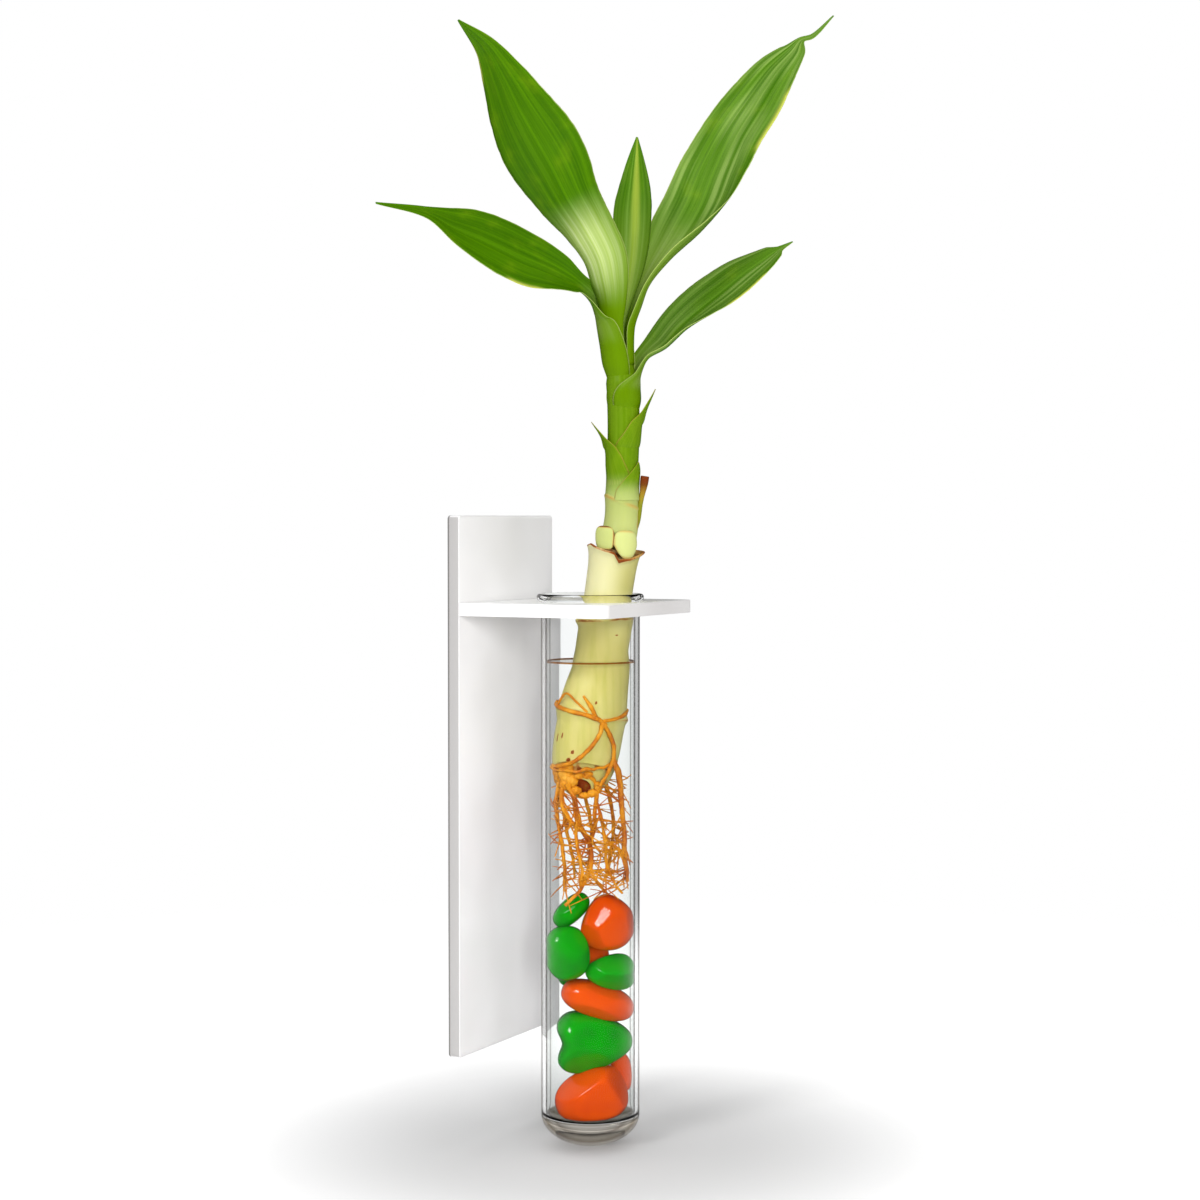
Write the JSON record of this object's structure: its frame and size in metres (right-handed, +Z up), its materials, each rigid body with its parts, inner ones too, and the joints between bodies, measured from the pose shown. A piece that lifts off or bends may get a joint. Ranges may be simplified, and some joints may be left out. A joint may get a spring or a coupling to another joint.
{
  "type": "lucky bamboo in a wall-hung test tube vase",
  "caption": "Lucky bamboo cutting with pointed green leaves, rooted over glass pebbles in a water-filled test tube that hangs in a white wall bracket.",
  "frame": {"origin": "centre of the bracket plate's back face, where it lies on the wall", "axes": "+Z up along the test tube, +Y into the wall, +X across the plate"},
  "size_m": [0.2003, 0.102, 0.4464],
  "materials": {
    "acrylic": "satin white acrylic sheet",
    "tube_glass": "clear glass",
    "water": "clear water",
    "cane": "pale yellow-green cane, satin",
    "shoot": "light green stem and sheaths, satin",
    "leaf": "green leaf with a waxy gloss",
    "root": "wet orange root",
    "pebble_green": "polished green glass",
    "pebble_orange": "polished orange glass"
  },
  "bodies": {
    "root": {"back_plate": "acrylic", "tube_shelf": "acrylic", "glass_tube": "tube_glass", "water": "water", "cane": "cane", "shoot": "shoot", "leaf_upper_left": "leaf", "leaf_upper_right": "leaf", "leaf_centre": "leaf", "leaf_lower_left": "leaf", "leaf_lower_right": "leaf", "scale_lower": "shoot", "scale_left": "shoot", "scale_right": "shoot", "roots": "root", "pebble_green_top": "pebble_green", "pebble_green_left": "pebble_green", "pebble_green_right": "pebble_green", "pebble_green_heart": "pebble_green", "pebble_green_back": "pebble_green", "pebble_orange_top": "pebble_orange", "pebble_orange_middle": "pebble_orange", "pebble_orange_bottom": "pebble_orange", "pebble_orange_back": "pebble_orange", "pebble_orange_inner": "pebble_orange"}
  },
  "joints": []
}
